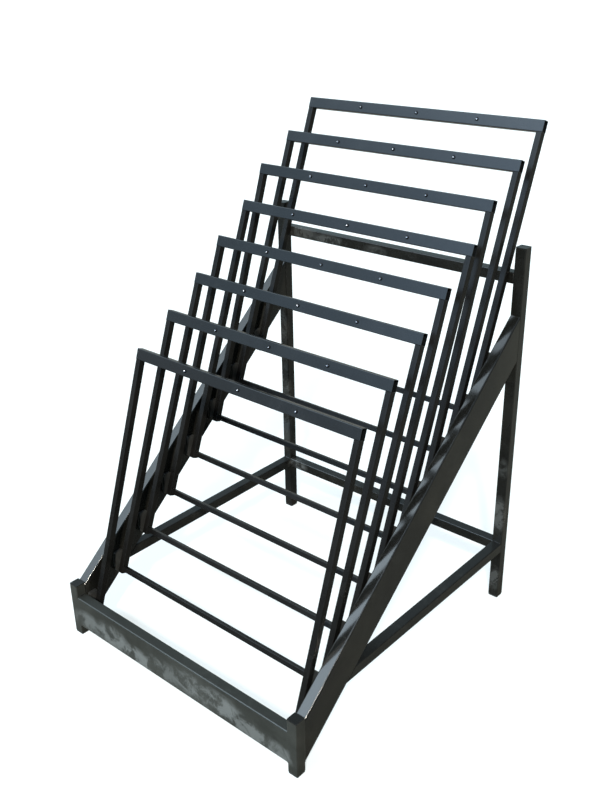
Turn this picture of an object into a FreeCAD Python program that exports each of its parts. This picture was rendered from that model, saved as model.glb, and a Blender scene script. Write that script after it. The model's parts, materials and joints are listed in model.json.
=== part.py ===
import FreeCAD, Part
import Sketcher
import os

# A stepped display stand that carries eight flip frames for sample boards.
# Millimetres and degrees. +X is the stand's right-hand side, seen from the front, +Y points to the rear
# and +Z up. The origin lies on the floor, midway between the sides, under the middle of the stand's depth.

doc = FreeCAD.newDocument("flip_frame_rack")

# Driving dimensions: each is a plain number with an alias of its own.
driving = {
    "stand_width": 700,
    "stand_depth": 770,
    "post_side": 25,                # square tube of the posts and crossbars
    "tube_wall": 2,
    "tube_corner": 2.5,             # outer corner radius of the stand's tubes
    "front_post_height": 136,
    "rear_post_height": 884,
    "cap_thickness": 2,
    "glide_thickness": 4,
    "glide_inset": 0.5,
    "panel_depth": 25,
    "panel_height": 80,
    "panel_lift": 25,
    "rail_width": 25,
    "rail_height": 80,
    "rail_corner": 3,
    "rail_slope": 40,
    "rail_lift": 25,                # floor to the rail's underside at the front post
    "crossbar_height": 25,
    "upper_crossbar_drop": 56,      # from the top of the rear posts down to the crossbar
    "crossbar_gap": 0.6,            # least room between the last frame at rest and the crossbar
    "lower_crossbar_lift": 132.5,
    "first_pivot_gap": 19.4,        # rear face of the front posts to the first pivot axis
    "last_pivot_gap": 118.1,        # last pivot axis to the front face of the rear posts
    "pivot_lift": 63.3,             # floor to the first pivot axis
    "pivot_droop": 0.44,            # the row of pivots climbs this much less steeply than the rails
    "frame_rise": 623,              # pivot axis to the top of a frame
    "frame_depth": 16,
    "frame_wall": 1.2,
    "frame_corner": 1.5,
    "upright_width": 14,
    "upright_below": 15,            # pivot axis down to the end of an upright
    "top_bar_height": 25,
    "rod_side": 12,
    "rod_below": 9,                 # pivot axis down to the underside of the bottom rod
    "screw_spacing": 158,
    "screw_shank_radius": 2,
    "screw_shank_length": 11,
    "screw_hole_gap": 0.1,
    "screw_head_radius": 4,
    "screw_head_height": 2.8,
    "screw_head_round": 1.8,
    "pin_radius": 4,
    "pin_clearance": 0.06,
    "pin_short": 0.4,               # the pin ends this far inside the upright's inner face
    "lug_thickness": 7.8,
    "lug_side_gap": 0.7,            # between a lug and the side of its frame
    "lug_front": 15,                # pivot axis to the lug's front face
    "lug_rear": 9,
    "lug_below": 11.7,
    "lug_above": 41.3,
    "lug_round": 5,
    "set_screw_radius": 1.7,
    "set_screw_length": 7,
    "stop_gap": 0.1,                # between a frame at rest and its stops
    "stop_reach": 18,               # out from the rail's inner face
    "stop_thickness": 3,
    "stop_height": 35,
    "stop_rise": 97,                # pivot axis to the stop's lower end, along the frame
    "lean_1": 18.8,                 # each frame leans back on stops that were bent to fit it
    "lean_2": 20.1,
    "lean_3": 21.1,
    "lean_4": 20.5,
    "lean_5": 21.1,
    "lean_6": 19.2,
    "lean_7": 20.8,
    "lean_8": 21.0,
}
frame_count = 8
frame_numbers = range(1, frame_count + 1)
sides = {"left": -1, "right": 1}

sheet = doc.addObject("Spreadsheet::Sheet", "Sizes")
for row, (alias, number) in enumerate(driving.items(), start=1):
    cell = "A%d" % row
    sheet.set(cell, str(number))
    sheet.setAlias(cell, alias)
doc.recompute()

sub_parts = []      # the objects that are written out, one file each


# ---- formulas over the sheet's cells ----------------------------------------------------------------

half_width = "Sizes.stand_width / 2"
slope = "(Sizes.rail_slope * 1 deg)"
rear_post_front = "Sizes.stand_depth - Sizes.post_side"
post_inner = "(Sizes.stand_width / 2 - Sizes.post_side)"
half_frame = "(%s - Sizes.lug_thickness - Sizes.lug_side_gap)" % post_inner
stop_behind = "(Sizes.frame_depth / 2 + Sizes.stop_gap)"

# The pivots stand in a row from behind the front posts to a fixed distance before the rear ones. Their row
# climbs a little less steeply than the rails.
climb = "((Sizes.rail_slope - Sizes.pivot_droop) * 1 deg)"
last_lean = "(Sizes.lean_%d * 1 deg)" % frame_count
first_pivot = "(Sizes.post_side + Sizes.first_pivot_gap)"
last_pivot = "(%s - Sizes.last_pivot_gap)" % rear_post_front
overall_depth = "(%s + Sizes.frame_depth / 2 * cos(%s) + Sizes.frame_rise * sin(%s))" % (
    last_pivot, last_lean, last_lean)

# The upper crossbar hangs below the tops of its posts, and low enough to stay behind the last frame.
frame_to_crossbar = "(Sizes.last_pivot_gap - Sizes.crossbar_gap - Sizes.frame_depth / 2 / cos(%s))" % (
    last_lean)
last_pivot_z = "(Sizes.pivot_lift + (%s - %s) * tan(%s))" % (last_pivot, first_pivot, climb)
behind_last_frame = "%s + %s / tan(%s)" % (last_pivot_z, frame_to_crossbar, last_lean)
upper_crossbar_top = "min(Sizes.rear_post_height - Sizes.upper_crossbar_drop; %s)" % behind_last_frame


def from_origin(y):
    """Turn a distance behind the stand's front face into a Y coordinate."""
    return "%s - %s / 2" % (y, overall_depth)


def pivot_step(number):
    """How far a frame's pivot axis lies behind the first one."""
    return "%d / %d * (%s - %s)" % (number - 1, frame_count - 1, last_pivot, first_pivot)


def pivot_y(number):
    """Y of a frame's pivot axis."""
    return from_origin("%s + %s" % (first_pivot, pivot_step(number)))


def pivot_z(number):
    """Z of a frame's pivot axis: the pivots climb beside the rail."""
    return "Sizes.pivot_lift + %s * tan(%s)" % (pivot_step(number), climb)


# ---- small building steps ---------------------------------------------------------------------------

def place(item, x="0", y="0", z="0", tilt=None):
    """Bind an object's place to the sheet; tilt is a turn about X, in degrees."""
    item.setExpression("Placement.Base.x", x)
    item.setExpression("Placement.Base.y", y)
    item.setExpression("Placement.Base.z", z)
    if tilt is not None:
        item.Placement.Rotation = FreeCAD.Rotation(FreeCAD.Vector(1, 0, 0), 1)
        item.setExpression("Placement.Rotation.Angle", tilt)


def new_body(name):
    """An empty PartDesign body."""
    body = doc.addObject("PartDesign::Body", name)
    body.Label = name
    return body


def new_sketch(body, role, lift="0"):
    """A sketch on one of the body's own origin planes, lifted along the plane's normal."""
    plane = [item for item in body.Origin.OriginFeatures if item.Role == role][0]
    sketch = body.newObject("Sketcher::SketchObject", body.Name + "_sketch")
    sketch.AttachmentSupport = (plane, [""])
    sketch.MapMode = "FlatFace"
    sketch.setExpression("AttachmentOffset.Base.z", lift)
    return sketch


def draw_rectangle(sketch, left, right, low, high):
    """A rectangle whose four sides are bound to formulas."""
    corners = [FreeCAD.Vector(0, 0), FreeCAD.Vector(5, 0), FreeCAD.Vector(5, 5), FreeCAD.Vector(0, 5)]
    first = sketch.GeometryCount
    for index in range(4):
        sketch.addGeometry(Part.LineSegment(corners[index], corners[(index + 1) % 4]), False)
    for index in range(4):
        following = first + (index + 1) % 4
        sketch.addConstraint(Sketcher.Constraint("Coincident", first + index, 2, following, 1))
    for index, kind in enumerate(("Horizontal", "Vertical", "Horizontal", "Vertical")):
        sketch.addConstraint(Sketcher.Constraint(kind, first + index))
    bounds = (("DistanceX", 0, left), ("DistanceX", 1, right), ("DistanceY", 0, low), ("DistanceY", 2, high))
    for kind, line, formula in bounds:
        number = sketch.addConstraint(Sketcher.Constraint(kind, -1, 1, first + line, 1, 1.0))
        sketch.setExpression("Constraints[%d]" % number, formula)


def draw_circle(sketch, x, y, radius):
    """A circle whose centre and radius are bound to formulas."""
    index = sketch.addGeometry(Part.Circle(FreeCAD.Vector(1, 1), FreeCAD.Vector(0, 0, 1), 1), False)
    for kind, formula in (("DistanceX", x), ("DistanceY", y)):
        number = sketch.addConstraint(Sketcher.Constraint(kind, -1, 1, index, 3, 1.0))
        sketch.setExpression("Constraints[%d]" % number, formula)
    number = sketch.addConstraint(Sketcher.Constraint("Radius", index, 1.0))
    sketch.setExpression("Constraints[%d]" % number, radius)


def pad(body, sketch, length):
    """Raise a sketch along its normal."""
    feature = body.newObject("PartDesign::Pad", body.Name + "_pad")
    feature.Profile = sketch
    feature.setExpression("Length", length)
    body.Tip = feature
    doc.recompute()
    return feature


def pocket(body, sketch, length, along_normal=True):
    """Cut a sketch into the body, and make sure that it takes something away."""
    before = body.Shape.Volume
    feature = body.newObject("PartDesign::Pocket", body.Name + "_pocket")
    feature.Profile = sketch
    feature.setExpression("Length", length)
    feature.Reversed = along_normal
    body.Tip = feature
    doc.recompute()
    if body.Shape.Volume >= before:
        raise RuntimeError("a pocket in %s cuts nothing" % body.Name)
    return feature


def edges_along(shape, direction):
    """Names of the straight edges that run along a direction."""
    names = []
    for number, edge in enumerate(shape.Edges, start=1):
        way = (edge.Vertexes[-1].Point - edge.Vertexes[0].Point)
        if way.Length > 0 and abs(way.normalize().dot(direction)) > 0.999:
            names.append("Edge%d" % number)
    return names


def round_edges(body, names, radius):
    """Round the named edges of the body's latest feature."""
    base = body.Tip
    feature = body.newObject("PartDesign::Fillet", body.Name + "_fillet")
    feature.Base = (base, names)
    feature.setExpression("Radius", radius)
    body.Tip = feature
    doc.recompute()
    return feature


axis_x = FreeCAD.Vector(1, 0, 0)
axis_y = FreeCAD.Vector(0, 1, 0)
axis_z = FreeCAD.Vector(0, 0, 1)
planes = {"x": ("YZ_Plane", axis_x), "y": ("XZ_Plane", axis_y), "z": ("XY_Plane", axis_z)}


def tube(name, along, section, start, length, wall, corner, floor=None):
    """A rectangular tube.

    along is the tube's axis, section the formulas of its four sides, start its first end. A tube along y
    runs towards -Y. With a floor, the far end is open and the first end is closed by that thickness.
    """
    left, right, low, high = section
    role, direction = planes[along]
    body = new_body(name)
    outline = new_sketch(body, role, start)
    draw_rectangle(outline, left, right, low, high)
    solid = pad(body, outline, length)
    round_edges(body, edges_along(solid.Shape, direction), corner)
    hollow_start = start if floor is None else "%s + %s" % (start, floor)
    hollow = new_sketch(body, role, hollow_start)
    draw_rectangle(hollow, "%s + %s" % (left, wall), "%s - %s" % (right, wall),
                   "%s + %s" % (low, wall), "%s - %s" % (high, wall))
    pocket(body, hollow, length)
    return body


def keep(item, name):
    """Note an object as a sub-part and give it the name of its file."""
    item.Label = name
    sub_parts.append(item)
    return item


def group(name, items):
    """Several separate solids that share one file."""
    compound = doc.addObject("Part::Compound", name)
    compound.Links = items
    return keep(compound, name)


def box(name, length, width, height):
    """A plain block."""
    block = doc.addObject("Part::Box", name)
    block.setExpression("Length", length)
    block.setExpression("Width", width)
    block.setExpression("Height", height)
    return block


# ---- the stand --------------------------------------------------------------------------------------

stand_wall = "Sizes.tube_wall"
stand_corner = "Sizes.tube_corner"
top_z = {"front": "Sizes.front_post_height", "rear": "Sizes.rear_post_height"}
post_y = {"front": from_origin("0"), "rear": from_origin(rear_post_front)}


def post_x(side):
    """X of a post's left face."""
    return "-" + half_width if side == "left" else post_inner


def make_post(end, side):
    """A square post between its floor glide and its cap."""
    section = ("0", "Sizes.post_side", "0", "Sizes.post_side")
    length = top_z[end] + " - Sizes.glide_thickness - Sizes.cap_thickness"
    post = tube("%s_post_%s" % (end, side), "z", section, "Sizes.glide_thickness", length,
                stand_wall, stand_corner)
    place(post, post_x(side), post_y[end])
    keep(post, post.Name)


def make_end_plate(name, end, side, thickness, z, inset):
    """A flat square plate with rounded corners that closes one end of a post."""
    body = new_body("%s_%s_%s" % (name, end, side))
    outline = new_sketch(body, "XY_Plane")
    draw_rectangle(outline, inset, "Sizes.post_side - %s" % inset, inset, "Sizes.post_side - %s" % inset)
    solid = pad(body, outline, thickness)
    round_edges(body, edges_along(solid.Shape, axis_z), stand_corner)
    place(body, post_x(side), post_y[end], z)
    return body


def make_posts():
    """Four posts, their welded caps and their floor glides."""
    caps = []
    glides = []
    for end in ("front", "rear"):
        for side in sides:
            make_post(end, side)
            caps.append(make_end_plate("post_cap", end, side, "Sizes.cap_thickness",
                                       top_z[end] + " - Sizes.cap_thickness", "0"))
            glides.append(make_end_plate("floor_glide", end, side, "Sizes.glide_thickness",
                                         "0", "Sizes.glide_inset"))
    group("post_caps", caps)
    group("floor_glides", glides)


def make_crossbar(name, y, depth, z, height, corner):
    """A tube across the stand, between two posts."""
    section = ("0", depth, "0", height)
    start = "Sizes.post_side - " + half_width
    length = "Sizes.stand_width - 2 * Sizes.post_side"
    bar = tube(name, "x", section, start, length, stand_wall, corner)
    place(bar, "0", y, z)
    keep(bar, name)


def make_crossbars():
    """The deep front panel, flush with the rear of its posts, and the two rear crossbars."""
    panel_front = from_origin("Sizes.post_side - Sizes.panel_depth")
    make_crossbar("front_panel", panel_front, "Sizes.panel_depth", "Sizes.panel_lift",
                  "Sizes.panel_height", "Sizes.rail_corner")
    make_crossbar("upper_rear_crossbar", post_y["rear"], "Sizes.post_side",
                  upper_crossbar_top + " - Sizes.crossbar_height",
                  "Sizes.crossbar_height", stand_corner)
    make_crossbar("lower_rear_crossbar", post_y["rear"], "Sizes.post_side", "Sizes.lower_crossbar_lift",
                  "Sizes.crossbar_height", stand_corner)


rail_run = "(Sizes.stand_depth - 2 * Sizes.post_side)"
rail_tilt = "Sizes.rail_slope - 90"


def rail_x(side):
    """X of a rail's left face: a rail lines up with the inner faces of its posts."""
    return "-%s - Sizes.rail_width" % post_inner if side == "left" else post_inner


def place_on_slope(item, x):
    """Lay an object along the rail: its Z up the slope, its Y down through the rail from the top face."""
    top = "Sizes.rail_lift + Sizes.rail_height / cos(%s)" % slope
    place(item, x, from_origin("Sizes.post_side"), top, rail_tilt)


def make_rail(side):
    """A sloping side rail, cut upright at both ends where it meets the posts."""
    section = ("0", "Sizes.rail_width", "0", "Sizes.rail_height")
    length = "%s / cos(%s) + 2 * Sizes.rail_height" % (rail_run, slope)
    blank = tube("rail_blank_" + side, "z", section, "-Sizes.rail_height", length,
                 stand_wall, "Sizes.rail_corner")
    place_on_slope(blank, rail_x(side))
    between_posts = box("between_posts_" + side, "Sizes.rail_width", rail_run, "Sizes.rear_post_height")
    place(between_posts, rail_x(side), from_origin("Sizes.post_side"))
    rail = doc.addObject("Part::Common", "side_rail_" + side)
    rail.Base = blank
    rail.Tool = between_posts
    keep(rail, rail.Name)


def make_lower_side_bar(side):
    """A level bar from the rear post forward to the underside of the rail, mitred to the slope."""
    left = post_x(side)
    low = "Sizes.lower_crossbar_lift"
    section = (left, left + " + Sizes.post_side", low, low + " + Sizes.crossbar_height")
    rear = from_origin(rear_post_front)
    reach = "(Sizes.lower_crossbar_lift - Sizes.rail_lift) / tan(%s)" % slope
    blank = tube("lower_side_blank_" + side, "y", section, "-(%s)" % rear, "%s - %s" % (rail_run, reach),
                 stand_wall, stand_corner)
    rail_space = box("rail_space_" + side, "Sizes.post_side", "Sizes.rail_height",
                     "%s / cos(%s)" % (rail_run, slope))
    place_on_slope(rail_space, left)
    bar = doc.addObject("Part::Cut", "lower_side_bar_" + side)
    bar.Base = blank
    bar.Tool = rail_space
    keep(bar, bar.Name)


# ---- pivots and stops -------------------------------------------------------------------------------

def make_lug(side, number):
    """A lug on the rail's inner face that holds one pivot pin."""
    body = new_body("lug_%s_%d" % (side, number))
    outline = new_sketch(body, "YZ_Plane")
    draw_rectangle(outline, "-Sizes.lug_front", "Sizes.lug_rear", "-Sizes.lug_below", "Sizes.lug_above")
    solid = pad(body, outline, "Sizes.lug_thickness")
    round_edges(body, edges_along(solid.Shape, axis_x), "Sizes.lug_round")
    bore = new_sketch(body, "YZ_Plane")
    draw_circle(bore, "0", "0", "Sizes.pin_radius")
    pocket(body, bore, "Sizes.lug_thickness")
    screw_hole = new_sketch(body, "XZ_Plane", "Sizes.pin_radius / 2")
    draw_circle(screw_hole, "Sizes.lug_thickness / 2", "0", "Sizes.set_screw_radius")
    pocket(body, screw_hole, "Sizes.lug_front")
    place(body, lug_left(side), pivot_y(number), pivot_z(number))
    return body


def lug_left(side):
    """X of a lug's left face."""
    return "-" + post_inner if side == "left" else "%s + Sizes.lug_side_gap" % half_frame


def make_set_screw(side, number):
    """A grub screw in the lug's front hole that bears on the pin."""
    screw = doc.addObject("Part::Cylinder", "set_screw_%s_%d" % (side, number))
    screw.setExpression("Radius", "Sizes.set_screw_radius")
    screw.setExpression("Height", "Sizes.set_screw_length")
    y = "%s - Sizes.pin_radius" % pivot_y(number)
    place(screw, "%s + Sizes.lug_thickness / 2" % lug_left(side), y, pivot_z(number), "90")
    return screw


def make_pin(side, number):
    """A pivot pin, from the rail through the lug and the foot of the frame's upright."""
    rod = doc.addObject("Part::Cylinder", "pin_rod_%s_%d" % (side, number))
    rod.Placement.Rotation = FreeCAD.Rotation(axis_y, 90)
    rod.setExpression("Radius", "Sizes.pin_radius")
    reach = "(%s - %s + Sizes.upright_width - Sizes.pin_short)" % (post_inner, half_frame)
    rod.setExpression("Height", reach)
    x = "-" + post_inner if side == "left" else "%s - %s" % (post_inner, reach)
    place(rod, x, pivot_y(number), pivot_z(number))
    return rod


def make_stop(side, number):
    """A plate on the rail's inner face, close behind the upright of a frame at rest."""
    lean = "(Sizes.lean_%d * 1 deg)" % number
    plate = box("stop_%s_%d" % (side, number), "Sizes.stop_reach", "Sizes.stop_thickness",
                "Sizes.stop_height")
    y = "%s + %s * cos(%s) + Sizes.stop_rise * sin(%s)" % (pivot_y(number), stop_behind, lean, lean)
    z = "%s - %s * sin(%s) + Sizes.stop_rise * cos(%s)" % (pivot_z(number), stop_behind, lean, lean)
    x = "-" + post_inner if side == "left" else "%s - Sizes.stop_reach" % post_inner
    place(plate, x, y, z, "-Sizes.lean_%d" % number)
    return plate


def make_pivots(side):
    """The lugs, pins, set screws and stops of one side."""
    makers = {"pivot_lugs": make_lug, "pivot_pins": make_pin, "pivot_set_screws": make_set_screw,
              "rear_stops": make_stop}
    for name, maker in makers.items():
        if name != "pivot_set_screws":
            group("%s_%s" % (name, side), [maker(side, number) for number in frame_numbers])
            continue
        set_screws.extend(maker(side, number) for number in frame_numbers)


set_screws = []


# ---- the frames -------------------------------------------------------------------------------------

frame_front = "-Sizes.frame_depth / 2"
frame_rear = "Sizes.frame_depth / 2"
frame_wall = "Sizes.frame_wall"
frame_corner = "Sizes.frame_corner"
screw_rise = "(Sizes.frame_rise - Sizes.top_bar_height / 2)"


def place_in_frame(item, number):
    """Hang an object on a frame's pivot axis at the frame's lean."""
    place(item, "0", pivot_y(number), pivot_z(number), "-Sizes.lean_%d" % number)


def make_top_bar(number):
    """The bar across a frame's top, with three screw holes in its front wall."""
    name = "frame_%d_top_bar" % number
    section = (frame_front, frame_rear, "Sizes.frame_rise - Sizes.top_bar_height", "Sizes.frame_rise")
    bar = tube(name, "x", section, "-" + half_frame, "2 * " + half_frame, frame_wall, frame_corner)
    holes = new_sketch(bar, "XZ_Plane")
    for step in (-1, 0, 1):
        draw_circle(holes, "%d * Sizes.screw_spacing" % step, screw_rise,
                    "Sizes.screw_shank_radius + Sizes.screw_hole_gap")
    pocket(bar, holes, frame_rear)
    place_in_frame(bar, number)
    keep(bar, name)


def make_upright(number, side):
    """One side of a frame, closed at its foot and bored for the pivot pin."""
    name = "frame_%d_%s_upright" % (number, side)
    left = "-" + half_frame if side == "left" else half_frame + " - Sizes.upright_width"
    section = (left, left + " + Sizes.upright_width", frame_front, frame_rear)
    length = "Sizes.frame_rise - Sizes.top_bar_height + Sizes.upright_below"
    upright = tube(name, "z", section, "-Sizes.upright_below", length, frame_wall, frame_corner, frame_wall)
    bore = new_sketch(upright, "YZ_Plane", left)
    draw_circle(bore, "0", "0", "Sizes.pin_radius + Sizes.pin_clearance")
    pocket(upright, bore, "Sizes.upright_width")
    place_in_frame(upright, number)
    keep(upright, name)


def make_bottom_rod(number):
    """The thin square tube between a frame's feet."""
    name = "frame_%d_bottom_rod" % number
    section = (frame_front, frame_front + " + Sizes.rod_side",
               "-Sizes.rod_below", "Sizes.rod_side - Sizes.rod_below")
    start = "Sizes.upright_width - " + half_frame
    length = "2 * (%s - Sizes.upright_width)" % half_frame
    rod = tube(name, "x", section, start, length, frame_wall, frame_corner)
    place_in_frame(rod, number)
    keep(rod, name)


def make_screw(number, step):
    """A round-headed screw in the front wall of a top bar."""
    name = "frame_%d_screw_%d" % (number, step + 2)
    body = new_body(name)
    head_start = frame_rear
    head = new_sketch(body, "XZ_Plane", head_start)
    draw_circle(head, "%d * Sizes.screw_spacing" % step, screw_rise, "Sizes.screw_head_radius")
    solid = pad(body, head, "Sizes.screw_head_height")
    rims = [(edge.CenterOfMass.y, "Edge%d" % (index + 1)) for index, edge in enumerate(solid.Shape.Edges)
            if edge.Curve.TypeId == "Part::GeomCircle"]
    round_edges(body, [min(rims)[1]], "Sizes.screw_head_round")
    shank = new_sketch(body, "XZ_Plane", "%s - Sizes.screw_shank_length" % head_start)
    draw_circle(shank, "%d * Sizes.screw_spacing" % step, screw_rise, "Sizes.screw_shank_radius")
    pad(body, shank, "Sizes.screw_shank_length")
    place_in_frame(body, number)
    return body


def make_frame(number):
    """One flip frame: top bar, two uprights, bottom rod and three screws."""
    make_top_bar(number)
    for side in sides:
        make_upright(number, side)
    make_bottom_rod(number)
    group("frame_%d_screws" % number, [make_screw(number, step) for step in (-1, 0, 1)])


# ---- build, check and write -------------------------------------------------------------------------

def check_document():
    """Stop if any object failed or any sub-part has no sound shape."""
    for item in doc.Objects:
        if "Invalid" in item.State or "Error" in item.State:
            raise RuntimeError("%s failed: %s" % (item.Name, item.State))
    for item in sub_parts:
        if item.Shape.isNull() or not item.Shape.isValid():
            raise RuntimeError("%s has no valid shape" % item.Label)


def write_parts():
    """Write one STEP file for each sub-part, in a clean folder."""
    os.makedirs("parts", exist_ok=True)
    for old in os.listdir("parts"):
        if old.endswith(".step"):
            os.remove(os.path.join("parts", old))
    for item in sub_parts:
        item.Shape.exportStep(os.path.join("parts", item.Label + ".step"))


make_posts()
make_crossbars()
for rail_side in sides:
    make_rail(rail_side)
    make_lower_side_bar(rail_side)
    make_pivots(rail_side)
group("pivot_set_screws", set_screws)
for frame_number in frame_numbers:
    make_frame(frame_number)
doc.recompute()
check_document()
write_parts()
print("wrote %d sub-parts" % len(sub_parts))
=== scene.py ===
import json
import math
import bmesh
import bpy
from mathutils import Matrix, Vector


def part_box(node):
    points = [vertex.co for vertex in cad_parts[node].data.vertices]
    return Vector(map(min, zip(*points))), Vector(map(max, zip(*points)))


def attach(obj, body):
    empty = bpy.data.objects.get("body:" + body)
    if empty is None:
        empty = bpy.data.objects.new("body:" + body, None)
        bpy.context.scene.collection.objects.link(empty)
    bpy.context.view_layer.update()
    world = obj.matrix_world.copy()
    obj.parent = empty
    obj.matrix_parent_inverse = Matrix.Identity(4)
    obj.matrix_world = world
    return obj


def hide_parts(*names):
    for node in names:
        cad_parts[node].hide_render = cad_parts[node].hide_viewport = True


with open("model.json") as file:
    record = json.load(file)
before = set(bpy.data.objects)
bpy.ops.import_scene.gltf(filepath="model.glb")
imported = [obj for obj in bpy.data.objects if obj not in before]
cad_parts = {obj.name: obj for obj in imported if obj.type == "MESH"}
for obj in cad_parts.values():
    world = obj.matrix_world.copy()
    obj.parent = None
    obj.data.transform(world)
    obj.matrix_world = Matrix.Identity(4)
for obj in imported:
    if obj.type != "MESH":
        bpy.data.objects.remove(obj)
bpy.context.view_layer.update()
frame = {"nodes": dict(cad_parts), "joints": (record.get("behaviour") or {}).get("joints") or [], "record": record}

# Flip-frame display rack: eight hinged steel frames on a sloping tube stand, all in black paint.
# Metres throughout. The front panel faces -Y, the sloping rails climb towards +Y.

frameNumbers = range(1, 9)
scene = bpy.context.scene
print("frame loaded:", len(frame["nodes"]), "nodes")


# Node helpers

def newMaterial(name):
    material = bpy.data.materials.new(name)
    material.use_nodes = True
    material.node_tree.nodes.clear()
    return material


def addNode(tree, kind, links=(), **values):
    # links: input name or number -> output socket or value; values: properties of the node
    node = tree.nodes.new(kind)
    for key, value in values.items():
        setattr(node, key, value)
    for socket, source in dict(links).items():
        if isinstance(source, bpy.types.NodeSocket):
            tree.links.new(source, node.inputs[socket])
        else:
            node.inputs[socket].default_value = source
    return node


def mathNode(tree, operation, first, second=0.0, third=0.0, clamp=False):
    node = addNode(tree, "ShaderNodeMath", {0: first, 1: second, 2: third}, operation=operation)
    node.use_clamp = clamp
    return node.outputs[0]


def vectorNode(tree, operation, first, second=(0.0, 0.0, 0.0), output="Vector"):
    return addNode(tree, "ShaderNodeVectorMath", {0: first, 1: second}, operation=operation).outputs[output]


def objectPlace(tree):
    return addNode(tree, "ShaderNodeTexCoord").outputs["Object"]


def noise(tree, place, scale, detail=4.0, roughness=0.55, distortion=0.0):
    return addNode(tree, "ShaderNodeTexNoise", {
        "Vector": place, "Scale": scale, "Detail": detail, "Roughness": roughness,
        "Distortion": distortion}).outputs["Fac"]


def rampNode(tree, factor, stops, smooth=True):
    # stops: (place, grey value or colour)
    node = addNode(tree, "ShaderNodeValToRGB", {"Fac": factor})
    ramp = node.color_ramp
    ramp.interpolation = "EASE" if smooth else "LINEAR"
    while len(ramp.elements) < len(stops):
        ramp.elements.new(0.5)
    for element, (place, value) in zip(ramp.elements, stops):
        element.position = place
        element.color = (value, value, value, 1.0) if isinstance(value, float) else (*value, 1.0)
    return node.outputs["Color"]


def mixColour(tree, factor, first, second):
    node = tree.nodes.new("ShaderNodeMix")
    node.data_type = "RGBA"
    for socket, source in ((0, factor), (6, first), (7, second)):
        if isinstance(source, bpy.types.NodeSocket):
            tree.links.new(source, node.inputs[socket])
        elif socket == 0:
            node.inputs[socket].default_value = source
        else:
            node.inputs[socket].default_value = (*source, 1.0)
    return node.outputs[2]


def edgeMask(tree, radius):
    # 1 along the edges of a piece, 0 on its faces
    bevel = addNode(tree, "ShaderNodeBevel", {"Radius": radius}, samples=4).outputs["Normal"]
    face = addNode(tree, "ShaderNodeNewGeometry").outputs["Normal"]
    dot = vectorNode(tree, "DOT_PRODUCT", bevel, face, "Value")
    return mathNode(tree, "MULTIPLY", mathNode(tree, "SUBTRACT", 1.0, dot), 6.0, clamp=True)


# Paint

standPaint = {
    "black": (0.0065, 0.0066, 0.0058),
    "filmAndSheen": (0.0130, 0.0130, 0.0110),        # dull film that the paint has picked up; on the panel it is partly a painted reflection of the floor
    "rub": (0.090, 0.092, 0.086),            # chalky rub marks
    "wear": (0.10, 0.10, 0.098),             # thin paint along the edges
    "rubAmount": 0.10,
    "wearAmount": 0.22,
    "roughness": (0.19, 0.34),
    "gloss": 0.30,                           # specular level
    "peel": 0.000035,                        # height of the orange peel
}
# The other paints: only what differs from the stand's own
# the panel's lighter black and thicker film are partly real film and partly a painted reflection of the floor on
# its front
panelPaint = dict(standPaint, black=(0.0165, 0.0175, 0.0150), filmAndSheen=(0.0320, 0.0330, 0.0285),
                  rub=(0.150, 0.154, 0.144), roughness=(0.26, 0.42))
railPaint = dict(standPaint, roughness=(0.10, 0.20), filmAndSheen=(0.0165, 0.0160, 0.0130), peel=0.00002)
framePaint = dict(standPaint, black=(0.0048, 0.0056, 0.0062), filmAndSheen=(0.0080, 0.0092, 0.0100),
                  rubAmount=0.04, wearAmount=0.10, roughness=(0.20, 0.30))
uprightPaint = dict(framePaint, black=(0.0052, 0.0050, 0.0046), filmAndSheen=(0.0090, 0.0086, 0.0078), gloss=0.13,
                    wearAmount=0.14, roughness=(0.24, 0.36))
lugPaint = dict(standPaint, black=(0.020, 0.020, 0.019), filmAndSheen=(0.042, 0.042, 0.039), rubAmount=0.45,
                roughness=(0.30, 0.44))

# Smudges: centre, radii and strength of each soft patch where the rub marks gather
panelSmudges = (
    ((-0.285, -0.43, 0.050), (0.070, 0.03, 0.034), 0.50),
    ((-0.205, -0.43, 0.054), (0.075, 0.03, 0.038), 0.60),
    ((-0.125, -0.43, 0.042), (0.080, 0.03, 0.032), 0.65),
    ((-0.030, -0.43, 0.052), (0.075, 0.03, 0.036), 0.42),
    ((0.055, -0.43, 0.062), (0.085, 0.03, 0.038), 0.55),
    ((0.140, -0.43, 0.058), (0.090, 0.03, 0.040), 0.65),
    ((0.225, -0.43, 0.046), (0.080, 0.03, 0.032), 0.55),
    ((0.300, -0.43, 0.040), (0.055, 0.03, 0.026), 0.50),
)
standSmudges = (
    ((-0.270, 0.316, 0.818), (0.060, 0.02, 0.020), 0.42),
    ((-0.180, 0.316, 0.812), (0.060, 0.02, 0.016), 0.50),
    ((-0.040, 0.316, 0.812), (0.040, 0.02, 0.014), 0.30),
    ((-0.300, 0.316, 0.146), (0.040, 0.02, 0.018), 0.70),
    ((0.338, 0.316, 0.235), (0.020, 0.02, 0.055), 0.60),
    ((0.338, 0.316, 0.055), (0.020, 0.02, 0.040), 0.45),
    ((0.338, 0.316, 0.360), (0.018, 0.02, 0.030), 0.30),
    ((-0.338, 0.316, 0.330), (0.022, 0.02, 0.160), 0.40),
    ((-0.338, 0.316, 0.560), (0.020, 0.02, 0.060), 0.30),
)


def smudgeMask(tree, place, smudges):
    mask = 0.0
    for centre, radii, strength in smudges:
        offset = vectorNode(tree, "DIVIDE", vectorNode(tree, "SUBTRACT", place, centre), radii)
        distance = vectorNode(tree, "LENGTH", offset, output="Value")
        nearness = mathNode(tree, "SUBTRACT", 1.0, distance, clamp=True)
        soft = mathNode(tree, "MULTIPLY", mathNode(tree, "MULTIPLY", nearness, 2.0, clamp=True), strength)
        mask = mathNode(tree, "MAXIMUM", mask, soft)
    return mask


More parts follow.
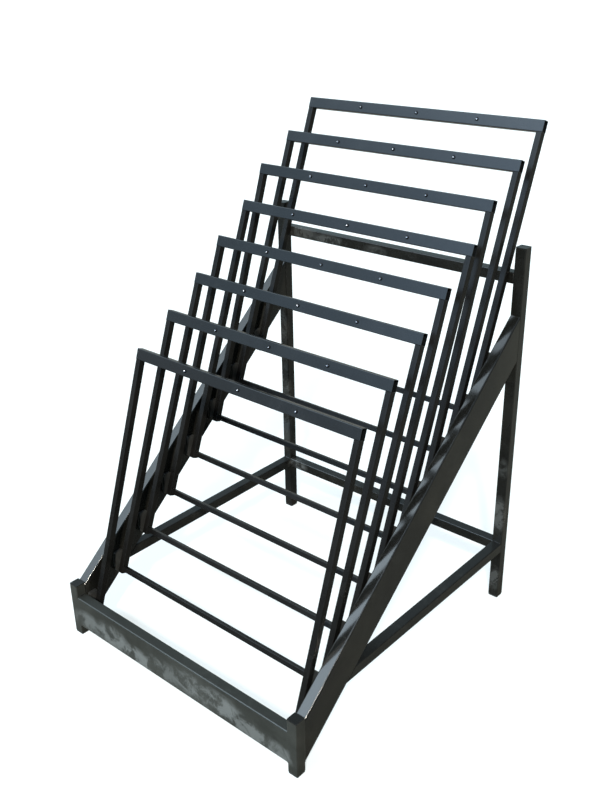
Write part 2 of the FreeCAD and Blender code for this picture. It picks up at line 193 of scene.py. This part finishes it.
# Grain of the paint. Noises: scale, detail, roughness and distortion; ramps: dark and light end
paintGrain = {
    "cloud": (7.0, 6.0, 0.60, 0.6),          # where the film is thick
    "cloudRamp": (0.36, 0.70),
    "paintedTopShade": 0.8,                        # painted shade: faces that look up lose the lighter film and come out darker
    "streaks": (26.0, 9.0, 0.68, 1.6),       # rub marks
    "streakRamp": (0.47, 0.74),
    "patches": (5.3, 2.0, 0.50, 0.4),        # where they gather
    "patchRamp": (0.46, 0.66),
    "torn": (24.0, 10.0, 0.72, 0.5),         # ragged outline of the smudges
    "tornRamp": (0.43, 0.56),
    "tornFloor": 0.12,
    "grit": (210.0, 5.0, 0.70, 0.0),         # breaks up the worn edges
    "gritRamp": (0.42, 0.66),
    "edgeWidth": 0.0016,
    "peel": (330.0, 2.0, 0.50, 0.0),
    "ripple": (60.0, 2.0, 0.50, 0.0),
    "rippleShare": 1.6,
    "bumpStrength": 0.6,
    "dullFilm": 0.55,                        # how much film and rub marks roughen the gloss
    "dullRubs": 0.90,
}


def grainMask(tree, place, kind, ramp, floor=0.0):
    # a noise of the paint's grain, spread between its ramp's two ends
    low, high = paintGrain[ramp]
    return rampNode(tree, noise(tree, place, *paintGrain[kind]), ((low, floor), (high, 1.0)))


def makePaint(name, look, smudges=()):
    # black enamel over steel: dull film (on the panel partly a painted reflection of the floor), left off the tops
    # as painted shade, rub marks, smudges, worn edges and orange peel
    material = newMaterial(name)
    tree = material.node_tree
    place = objectPlace(tree)
    cloud = noise(tree, place, *paintGrain["cloud"])
    low, high = paintGrain["cloudRamp"]
    # painted shade: the film fades away on faces that look up, so the tops read darker
    facing = addNode(tree, "ShaderNodeNewGeometry").outputs["Normal"]
    rise = addNode(tree, "ShaderNodeSeparateXYZ", {"Vector": facing}).outputs["Z"]
    topShade = mathNode(tree, "MULTIPLY", rise, paintGrain["paintedTopShade"], clamp=True)
    filmAndSheen = mathNode(tree, "SUBTRACT", rampNode(tree, cloud, ((low, 0.0), (high, 1.0))), topShade, clamp=True)
    colour = mixColour(tree, filmAndSheen, look["black"], look["filmAndSheen"])
    rubs = mathNode(tree, "MULTIPLY", grainMask(tree, place, "streaks", "streakRamp"),
                    grainMask(tree, place, "patches", "patchRamp"))
    rubs = mathNode(tree, "MULTIPLY", rubs, look["rubAmount"])
    if smudges:
        torn = grainMask(tree, place, "torn", "tornRamp", paintGrain["tornFloor"])
        scuffs = mathNode(tree, "MULTIPLY", torn, smudgeMask(tree, place, smudges))
        rubs = mathNode(tree, "MAXIMUM", rubs, scuffs)
    colour = mixColour(tree, rubs, colour, look["rub"])
    wear = mathNode(tree, "MULTIPLY", edgeMask(tree, paintGrain["edgeWidth"]),
                    grainMask(tree, place, "grit", "gritRamp"))
    colour = mixColour(tree, mathNode(tree, "MULTIPLY", wear, look["wearAmount"]), colour, look["wear"])
    low, high = look["roughness"]
    dull = mathNode(tree, "ADD", mathNode(tree, "MULTIPLY", cloud, paintGrain["dullFilm"]),
                    mathNode(tree, "MULTIPLY", rubs, paintGrain["dullRubs"]))
    rough = mathNode(tree, "MULTIPLY_ADD", dull, high - low, low)
    peel = noise(tree, place, *paintGrain["peel"])
    ripple = noise(tree, place, *paintGrain["ripple"])
    height = mathNode(tree, "ADD", peel, mathNode(tree, "MULTIPLY", ripple, paintGrain["rippleShare"]))
    bump = addNode(tree, "ShaderNodeBump", {
        "Strength": paintGrain["bumpStrength"], "Distance": look["peel"], "Height": height})
    shader = addNode(tree, "ShaderNodeBsdfPrincipled", {
        "Base Color": colour, "Roughness": rough, "IOR": 1.5, "Specular IOR Level": look["gloss"],
        "Normal": bump.outputs["Normal"]})
    addNode(tree, "ShaderNodeOutputMaterial", {"Surface": shader.outputs[0]})
    return material


# Bare steel, the bright recess steel that paints the screw heads' glint, and plastic

pinSteel = {"colour": (0.50, 0.49, 0.47), "roughness": 0.30}
screwSteel = {"colour": (0.004, 0.004, 0.005), "worn": (0.014, 0.014, 0.015), "roughness": 0.26,
              "gloss": 0.10}
glintRecessSteel = {"colour": (0.52, 0.55, 0.60), "roughness": 0.22}       # painted highlight: bright steel in the recess gives the dark head its glint, drawn as steel bared by the driver
glidePlastic = {"colour": (0.012, 0.012, 0.012), "dirt": (0.060, 0.058, 0.050), "roughness": 0.55}


def makeSteel(name, look):
    # oiled steel with a patchy tarnish
    material = newMaterial(name)
    tree = material.node_tree
    tarnish = noise(tree, objectPlace(tree), 180.0, 5.0, 0.6)
    tone = mixColour(tree, tarnish, tuple(0.55 * channel for channel in look["colour"]), look["colour"])
    rough = mathNode(tree, "MULTIPLY_ADD", tarnish, 0.2, look["roughness"])
    bump = addNode(tree, "ShaderNodeBump", {"Strength": 0.4, "Distance": 0.00003, "Height": tarnish})
    shader = addNode(tree, "ShaderNodeBsdfPrincipled", {
        "Base Color": tone, "Metallic": 1.0, "Roughness": rough, "Normal": bump.outputs["Normal"]})
    addNode(tree, "ShaderNodeOutputMaterial", {"Surface": shader.outputs[0]})
    return material


def makeOxide(name, look):
    # blackened steel: a dark glossy skin, slightly worn in places
    material = newMaterial(name)
    tree = material.node_tree
    tarnish = noise(tree, objectPlace(tree), 420.0, 4.0, 0.6)
    tone = mixColour(tree, rampNode(tree, tarnish, ((0.45, 0.0), (0.75, 1.0))), look["colour"], look["worn"])
    rough = mathNode(tree, "MULTIPLY_ADD", tarnish, 0.12, look["roughness"])
    bump = addNode(tree, "ShaderNodeBump", {"Strength": 0.3, "Distance": 0.00002, "Height": tarnish})
    shader = addNode(tree, "ShaderNodeBsdfPrincipled", {
        "Base Color": tone, "Roughness": rough, "Specular IOR Level": look["gloss"],
        "Normal": bump.outputs["Normal"]})
    addNode(tree, "ShaderNodeOutputMaterial", {"Surface": shader.outputs[0]})
    return material


def makePlastic(name, look):
    # moulded black plastic, dirty underfoot
    material = newMaterial(name)
    tree = material.node_tree
    place = objectPlace(tree)
    grain = noise(tree, place, 900.0, 3.0, 0.6)
    dirt = rampNode(tree, noise(tree, place, 40.0, 5.0, 0.6), ((0.4, 0.0), (0.7, 1.0)))
    bump = addNode(tree, "ShaderNodeBump", {"Strength": 0.5, "Distance": 0.00006, "Height": grain})
    shader = addNode(tree, "ShaderNodeBsdfPrincipled", {
        "Base Color": mixColour(tree, dirt, look["colour"], look["dirt"]), "Roughness": look["roughness"],
        "Normal": bump.outputs["Normal"]})
    addNode(tree, "ShaderNodeOutputMaterial", {"Surface": shader.outputs[0]})
    return material


finishes = {
    "stand_paint": makePaint("standPaint", standPaint, standSmudges),
    "frame_paint": makePaint("framePaint", framePaint),
    "lug_paint": makePaint("lugPaint", lugPaint),
    "pin_steel": makeSteel("pinSteel", pinSteel),
    "screw_steel": makeOxide("screwSteel", screwSteel),
    "glide_plastic": makePlastic("glidePlastic", glidePlastic),
}
# painted highlight: this bright steel in the cross recesses gives each dark screw head its glint
glintRecessMaterial = makeSteel("glintRecessSteel", glintRecessSteel)
# the panel's paint: real scuffs and smudges, plus a painted floor reflection in its lighter base
scuffedPaintWithSheen = makePaint("scuffedPaintWithSheen", panelPaint, panelSmudges)
# pieces whose paint is scuffed, polished or duller than the rest of their finish, by the end of their name
ownPaint = (
    (scuffedPaintWithSheen, ("front_panel", "front_post_left", "front_post_right")),
    (makePaint("railPaint", railPaint), ("side_rail_left", "side_rail_right")),
    (makePaint("uprightPaint", uprightPaint), ("upright", "bottom_rod")),
)


def paintNodes():
    for row in frame["record"]["subparts"]:
        node = row["node"]
        paint = finishes[row["material_slot"]]
        for own, endings in ownPaint:
            if node.endswith(endings):
                paint = own
        mesh = frame["nodes"][node].data
        mesh.materials.clear()
        mesh.materials.append(paint)


paintNodes()
print("painted")


# Where the frames hang

def pivotPoint(number):
    joint = [item for item in frame["joints"] if item["name"] == "frame_%d_hinge" % number][0]
    return Vector(joint["pos_m"])


def boxCentre(node):
    low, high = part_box(node)
    return (low + high) / 2


def frameAxes(number):
    # unit vectors up the frame and out of its front face
    up = (boxCentre("frame_%d_top_bar" % number) - pivotPoint(number)).normalized()
    return up, Vector((1, 0, 0)).cross(up)


def finishPiece(builder, name, body, slot, nodes=()):
    # turn the mesh in the builder into a piece that rides on a body
    mesh = bpy.data.meshes.new(name)
    bmesh.ops.recalc_face_normals(builder, faces=builder.faces)
    builder.to_mesh(mesh)
    builder.free()
    mesh.materials.append(finishes[slot])
    piece = bpy.data.objects.new(name, mesh)
    scene.collection.objects.link(piece)
    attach(piece, body)
    if nodes:
        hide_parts(*nodes)
    return piece


# Screws

topScrew = {
    "spacing": 0.158,
    "headRadius": 0.0040,
    "headHeight": 0.0028,
    "rimHeight": 0.0005,
    "recessArm": 0.0017,         # half the length of the cross recess
    "recessWidth": 0.0011,
    "recessDepth": 0.0012,
    "shankRadius": 0.0020,
    "shankLength": 0.0110,
    "neck": 0.00005,             # the shank ends this far below the head
    "rimRound": 0.0001,
    "rimFoot": 0.97,             # the rim's foot, as a share of the head's radius
    "dome": (1.0, 0.985, 0.94, 0.86, 0.76, 0.66, 0.58),      # rings of the dome, as shares of its radius
    "recessTaper": 0.82,
    "turns": (0.7, 1.9),         # how each recess is turned, by frame and by place
}
segments = 48                    # of each round ring


def ring(builder, place, radii, height):
    # place: matrix whose Z is the screw's axis; radii: one radius, or a function of the angle
    corners = []
    for step in range(segments):
        angle = 2 * math.pi * step / segments
        radius = radii(angle) if callable(radii) else radii
        corner = Vector((radius * math.cos(angle), radius * math.sin(angle), height))
        corners.append(builder.verts.new(place @ corner))
    return corners


def skin(builder, rings, smooth=True):
    for lower, upper in zip(rings, rings[1:]):
        for step in range(segments):
            after = (step + 1) % segments
            face = builder.faces.new((lower[step], lower[after], upper[after], upper[step]))
            face.smooth = smooth


def crossRecess(arm, width):
    def radius(angle):
        turn = abs((angle + math.pi / 4) % (math.pi / 2) - math.pi / 4)
        return min(arm / math.cos(turn), width / 2 / max(math.sin(turn), 1e-6))
    return radius


def socketRecess(across):
    def radius(angle):
        turn = (angle + math.pi / 6) % (math.pi / 3) - math.pi / 6
        return across / 2 / math.cos(turn)
    return radius


def addTopScrew(builder, place):
    look = topScrew
    full, dome = look["headRadius"], look["headHeight"] - look["rimHeight"]
    recess = crossRecess(look["recessArm"], look["recessWidth"])
    rings = [ring(builder, place, look["shankRadius"], -look["shankLength"]),
             ring(builder, place, look["shankRadius"], -look["neck"]),
             ring(builder, place, full * look["rimFoot"], 0.0),
             ring(builder, place, full, look["rimRound"])]
    for share in look["dome"]:
        height = look["rimHeight"] + dome * math.sqrt(1 - share * share)
        rings.append(ring(builder, place, full * share, height))
    lip = look["rimHeight"] + dome * math.sqrt(1 - (look["recessArm"] / full) ** 2)
    rings.append(ring(builder, place, recess, lip))
    taper = look["recessTaper"]
    rings.append(ring(builder, place, lambda angle: taper * recess(angle), lip - look["recessDepth"]))
    skin(builder, rings)
    builder.faces.new(rings[-1])
    builder.faces.new(rings[0])
    for corner in rings[-1]:
        for face in corner.link_faces:
            face.material_index = 1          # the recess's bright steel, a painted glint on the head


def screwMatrix(origin, axis):
    return Matrix.Translation(origin) @ axis.to_track_quat("Z", "Y").to_matrix().to_4x4()


def makeTopScrews(number):
    bar = "frame_%d_top_bar" % number
    out = frameAxes(number)[1]
    centre = boxCentre(bar)
    halfDepth = max((vertex.co - centre).dot(out) for vertex in frame["nodes"][bar].data.vertices)
    builder = bmesh.new()
    byFrame, byPlace = topScrew["turns"]
    for step in (-1, 0, 1):
        turn = Matrix.Rotation(byFrame * number + byPlace * step, 4, "Z")
        origin = centre + out * halfDepth + Vector((step * topScrew["spacing"], 0, 0))
        addTopScrew(builder, screwMatrix(origin, out) @ turn)
    heads = finishPiece(builder, "frame_%d_screw_heads" % number, "frame_%d" % number, "screw_steel",
                        ["frame_%d_screws" % number])
    heads.data.materials.append(glintRecessMaterial)


grubScrew = {
    "radius": 0.0017,
    "length": 0.0070,
    "across": 0.0017,            # across the flats of the hexagon socket
    "socketDepth": 0.0020,
    "chamfer": 0.0003,
    "pinRadius": 0.0040,
    "lugMiddle": 0.0039,         # from the rail's inner face to the middle of the lug
}


def makeGrubScrews():
    # one in each lug, with its end on the pin
    look = grubScrew
    socket = socketRecess(look["across"])
    builder = bmesh.new()
    for side, rail in ((1, "side_rail_left"), (-1, "side_rail_right")):
        low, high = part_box(rail)
        inner = high.x if side > 0 else low.x
        for number in frameNumbers:
            pivot = pivotPoint(number)
            front = pivot.y - look["pinRadius"] - look["length"]
            origin = Vector((inner + side * look["lugMiddle"], front, pivot.z))
            place = screwMatrix(origin, Vector((0, -1, 0)))
            radius = look["radius"]
            rings = [ring(builder, place, radius, -look["length"]),
                     ring(builder, place, radius, -look["chamfer"]),
                     ring(builder, place, radius - look["chamfer"], 0.0),
                     ring(builder, place, socket, 0.0),
                     ring(builder, place, socket, -look["socketDepth"])]
            skin(builder, rings, smooth=False)
            builder.faces.new(rings[-1])
            builder.faces.new(rings[0])
    finishPiece(builder, "grub_screws", "stand", "screw_steel", ["pivot_set_screws"])


for frameNumber in frameNumbers:
    makeTopScrews(frameNumber)
makeGrubScrews()
print("screws made")


# Weld beads

weldBead = {
    "radius": 0.0016,
    "ripple": 0.0016,            # length of one ripple
    "rippleRows": 3,             # rows of corners in one ripple
    "rippleDepth": 0.14,
    "wander": 0.12,              # how far the bead strays, as a share of its radius
    "endSize": 0.25,             # of the full radius, at both ends
    "endLength": 0.1875,         # share of the bead over which an end swells to the full radius
    "around": 8,
    "short": 0.004,              # a bead stops this far before a corner
    "panelShort": (0.005, 0.003),        # and on the panel's ends, at the front and at the rear
}
# From a pivot to a lug's two edges and to the ends of their beads; from a frame's middle to its stops
lugSize = {"front": 0.0150, "rear": 0.0090, "low": -0.0070, "high": 0.0360}
railSize = {"height": 0.080, "slope": 40.0, "beadLength": 0.100}
stopSize = {"near": 0.0081, "thickness": 0.0030, "low": 0.0990, "high": 0.1300}


def addBead(builder, start, end, phase):
    # a rippled bead between two points, its middle on the line
    look = weldBead
    along = end - start
    steps = max(4, int(along.length / look["ripple"] * look["rippleRows"]))
    side = along.orthogonal().normalized()
    other = along.normalized().cross(side)
    rows = []
    for step in range(steps + 1):
        share = step / steps
        swell = look["endSize"] + min(share, 1 - share) * (1 - look["endSize"]) / look["endLength"]
        taper = min(1.0, swell)
        wave = 1 + look["rippleDepth"] * math.sin(2 * math.pi * step / look["rippleRows"] + phase)
        wander = look["wander"] * look["radius"] * math.sin(7.0 * share + 3.1 * phase)
        centre = start + along * share + side * wander
        radius = look["radius"] * taper * wave
        rows.append([builder.verts.new(centre + radius * (math.cos(a) * side + math.sin(a) * other))
                     for a in (2 * math.pi * k / look["around"] for k in range(look["around"]))])
    for lower, upper in zip(rows, rows[1:]):
        for k in range(look["around"]):
            after = (k + 1) % look["around"]
            builder.faces.new((lower[k], lower[after], upper[after], upper[k])).smooth = True
    builder.faces.new(rows[0])
    builder.faces.new(rows[-1])


def makePivotWelds():
    # beads down both edges of each lug and along the rear of each stop, on the rail's inner face
    lugs = bmesh.new()
    stops = bmesh.new()
    for side, rail in ((1, "side_rail_left"), (-1, "side_rail_right")):
        low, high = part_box(rail)
        inner = high.x if side > 0 else low.x
        for number in frameNumbers:
            pivot = pivotPoint(number)
            up, out = frameAxes(number)
            phase = 1.7 * number + side
            for y in (-lugSize["front"], lugSize["rear"]):
                foot = Vector((inner, pivot.y + y, pivot.z))
                low, high = Vector((0, 0, lugSize["low"])), Vector((0, 0, lugSize["high"]))
                addBead(lugs, foot + low, foot + high, phase)
            back = Vector((inner, pivot.y, pivot.z)) - out * (stopSize["near"] + stopSize["thickness"])
            addBead(stops, back + up * stopSize["low"], back + up * stopSize["high"], phase)
    finishPiece(lugs, "lug_welds", "stand", "lug_paint")
    finishPiece(stops, "stop_welds", "stand", "stand_paint")


def makeCrossbarWelds():
    # beads in the hidden corners, where the bars meet the inner faces of the posts
    short = weldBead["short"]
    builder = bmesh.new()
    for node in ("upper_rear_crossbar", "lower_rear_crossbar"):
        low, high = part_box(node)
        for x in (low.x, high.x):
            for z in (low.z, high.z):
                addBead(builder, Vector((x, low.y + short, z)), Vector((x, high.y - short, z)), x + z)
            for y in (low.y, high.y):
                addBead(builder, Vector((x, y, low.z + short)), Vector((x, y, high.z - short)), x + y)
    low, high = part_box("front_panel")
    front, rear = weldBead["panelShort"]
    for x in (low.x, high.x):
        for z, phase in ((high.z, x), (low.z, x + 1)):
            addBead(builder, Vector((x, low.y + front, z)), Vector((x, high.y - rear, z)), phase)
    for rail in ("left", "right"):
        low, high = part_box("side_rail_" + rail)
        inner = high.x if rail == "left" else low.x
        start = Vector((inner, high.y, high.z - railSize["beadLength"]))
        addBead(builder, start, Vector((inner, high.y, high.z - short)), inner)
        low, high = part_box("lower_side_bar_" + rail)
        for z in (low.z, high.z):
            addBead(builder, Vector((low.x + short, high.y, z)), Vector((high.x - short, high.y, z)), z)
    finishPiece(builder, "frame_corner_welds", "stand", "stand_paint")


groundSeam = {
    "postRound": 0.0025,         # corner radius of the posts, which the weld metal fills
    "inset": 0.00002,            # how far the ground face lies behind the tubes' faces
}


def addWedge(builder, corners, along):
    # a three-sided prism: corners of one end, and the step to the other end
    first = [builder.verts.new(corner) for corner in corners]
    last = [builder.verts.new(corner + along) for corner in corners]
    builder.faces.new(first)
    builder.faces.new(last)
    for k in range(3):
        after = (k + 1) % 3
        builder.faces.new((first[k], first[after], last[after], last[k]))


def makeGroundSeams():
    # weld metal ground level with the faces, where the front posts meet the panel and the rails
    builder = bmesh.new()
    fill, inset = groundSeam["postRound"], groundSeam["inset"]
    low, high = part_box("front_panel")
    for x, way in ((low.x, -1), (high.x, 1)):
        front = low.y + inset
        corners = [Vector((x, front, low.z)), Vector((x + way * fill, front, low.z)),
                   Vector((x, front + fill, low.z))]
        addWedge(builder, corners, Vector((0, 0, high.z - low.z)))
    endHeight = railSize["height"] / math.cos(math.radians(railSize["slope"]))
    for rail, way in (("left", -1), ("right", 1)):
        low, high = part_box("side_rail_" + rail)
        outer = (low.x + inset) if way < 0 else (high.x - inset)
        corners = [Vector((outer, low.y, low.z)), Vector((outer, low.y - fill, low.z)),
                   Vector((outer - way * fill, low.y, low.z))]
        addWedge(builder, corners, Vector((0, 0, endHeight)))
    seams = finishPiece(builder, "ground_seams", "stand", "stand_paint")
    seams.data.materials[0] = scuffedPaintWithSheen


makePivotWelds()
makeCrossbarWelds()
makeGroundSeams()
print("welds made")


# Floor, light and camera

studio = {
    "paper": (0.200, 0.215, 0.215),      # the floor as it is seen: what it scatters
    "glow": (0.720, 0.765, 0.765),       # and what shines through it from below
    "bounce": (0.150, 0.140, 0.115),     # the light that it sends back at the stand
    "backdrop": (0.90, 0.94, 0.95),      # what is seen above the floor
    "horizon": (0.85, 0.90, 0.94),       # colours of the surroundings, from the floor line upwards
    "middle": (0.42, 0.58, 0.62),
    "upper": (0.42, 0.54, 0.64),
    "zenith": (0.30, 0.42, 0.62),
    "keyWay": (0.43, -0.61, 0.66),       # the small hard light on the right
    "keyPower": 4.0,
    "keySize": 4.0,                      # degrees
    "keyColour": (1.0, 0.93, 0.82),
    "floorRadius": 60.0,
    "mottle": 1.2,                       # scale of the paper's faint mottle, and its darkest share
    "mottleDark": 0.985,
}
# turn and rise: where a light is, in degrees; cut: heights between which its lower edge fades in
softLights = (
    {"turn": 42.0, "rise": 48.0, "spread": 16.0, "power": 9.5, "colour": (0.76, 0.90, 1.00),
     "cut": (0.40, 0.56)},
    {"turn": 12.0, "rise": 26.0, "spread": 16.0, "power": 6.5, "colour": (0.51, 0.72, 1.00),
     "cut": (0.00, 0.20)},
)
darkCorner = {"turn": -150.0, "rise": 0.0, "spread": 38.0, "share": 0.85}


def makeFloor():
    mesh = bpy.data.meshes.new("floor")
    builder = bmesh.new()
    bmesh.ops.create_circle(builder, cap_ends=True, radius=studio["floorRadius"], segments=64)
    builder.to_mesh(mesh)
    builder.free()
    floor = bpy.data.objects.new("floor", mesh)
    scene.collection.objects.link(floor)
    material = newMaterial("floorPaper")
    tree = material.node_tree
    mottle = noise(tree, objectPlace(tree), studio["mottle"])
    dark = tuple(studio["mottleDark"] * channel for channel in studio["paper"])
    paper = mixColour(tree, mottle, dark, studio["paper"])
    seen = addNode(tree, "ShaderNodeLightPath").outputs["Is Camera Ray"]
    scatter = addNode(tree, "ShaderNodeBsdfDiffuse", {
        "Color": mixColour(tree, seen, studio["bounce"], paper), "Roughness": 0.6})
    glow = addNode(tree, "ShaderNodeEmission", {"Color": (*studio["glow"], 1.0), "Strength": seen})
    shader = addNode(tree, "ShaderNodeAddShader", {0: scatter.outputs[0], 1: glow.outputs[0]})
    addNode(tree, "ShaderNodeOutputMaterial", {"Surface": shader.outputs[0]})
    mesh.materials.append(material)


def lightWay(turn, rise):
    # turn: degrees from the front towards the left; rise: above the floor
    turn, rise = math.radians(turn), math.radians(rise)
    return Vector((-math.sin(turn) * math.cos(rise), -math.cos(turn) * math.cos(rise), math.sin(rise)))


def lobe(tree, way, look):
    # 1 in the middle of a soft round patch of the surroundings, falling to 0 around it
    centre = tuple(lightWay(look["turn"], look["rise"]))
    nearness = vectorNode(tree, "DOT_PRODUCT", way, centre, "Value")
    spread = math.radians(look["spread"]) ** 2
    fall = mathNode(tree, "DIVIDE", mathNode(tree, "SUBTRACT", nearness, 1.0), spread)
    return mathNode(tree, "EXPONENT", fall)


def makeWorld():
    world = bpy.data.worlds.new("studio")
    world.use_nodes = True
    tree = world.node_tree
    tree.nodes.clear()
    way = addNode(tree, "ShaderNodeTexCoord").outputs["Generated"]
    height = addNode(tree, "ShaderNodeSeparateXYZ", {"Vector": way}).outputs["Z"]
    walls = rampNode(tree, height, ((0.0, studio["horizon"]), (0.20, studio["middle"]),
                                    (0.75, studio["upper"]), (1.0, studio["zenith"])), smooth=False)
    shade = mathNode(tree, "MULTIPLY_ADD", lobe(tree, way, darkCorner), -darkCorner["share"], 1.0)
    light = addNode(tree, "ShaderNodeBackground", {"Color": walls, "Strength": shade}).outputs[0]
    for lamp in softLights:
        low, high = lamp["cut"]
        cut = rampNode(tree, height, ((low, 0.0), (high, 1.0)))
        power = mathNode(tree, "MULTIPLY", lobe(tree, way, lamp), cut)
        power = mathNode(tree, "MULTIPLY", power, lamp["power"])
        glow = addNode(tree, "ShaderNodeBackground", {"Color": (*lamp["colour"], 1.0), "Strength": power})
        light = addNode(tree, "ShaderNodeAddShader", {0: light, 1: glow.outputs[0]}).outputs[0]
    backdrop = addNode(tree, "ShaderNodeBackground", {"Color": (*studio["backdrop"], 1.0), "Strength": 1.0})
    seen = addNode(tree, "ShaderNodeLightPath").outputs["Is Camera Ray"]
    surface = addNode(tree, "ShaderNodeMixShader", {0: seen, 1: light, 2: backdrop.outputs[0]})
    addNode(tree, "ShaderNodeOutputWorld", {"Surface": surface.outputs[0]})
    scene.world = world


def makeKeyLight():
    lamp = bpy.data.lights.new("keyLight", "SUN")
    lamp.energy = studio["keyPower"]
    lamp.angle = math.radians(studio["keySize"])
    lamp.color = studio["keyColour"]
    holder = bpy.data.objects.new("keyLight", lamp)
    holder.rotation_euler = Vector(studio["keyWay"]).to_track_quat("Z", "Y").to_euler()
    scene.collection.objects.link(holder)


camera = {
    "place": (1.2675, -1.4330, 1.4453),
    "turn": 41.598,          # degrees about Z
    "down": 25.057,          # below the horizon
    "roll": -1.138,
    "lens": 42.863,
}


def makeCamera():
    data = bpy.data.cameras.new("camera")
    data.lens = camera["lens"]
    data.sensor_width = 36.0
    data.clip_start, data.clip_end = 0.05, 200.0
    item = bpy.data.objects.new("camera", data)
    aim = Matrix.Rotation(math.radians(camera["turn"]), 4, "Z")
    aim = aim @ Matrix.Rotation(math.radians(90.0 - camera["down"]), 4, "X")
    aim = aim @ Matrix.Rotation(math.radians(camera["roll"]), 4, "Z")
    item.matrix_world = Matrix.Translation(camera["place"]) @ aim
    scene.collection.objects.link(item)
    scene.camera = item


makeFloor()
makeWorld()
makeKeyLight()
makeCamera()
scene.view_settings.view_transform = "Standard"
print("studio ready")
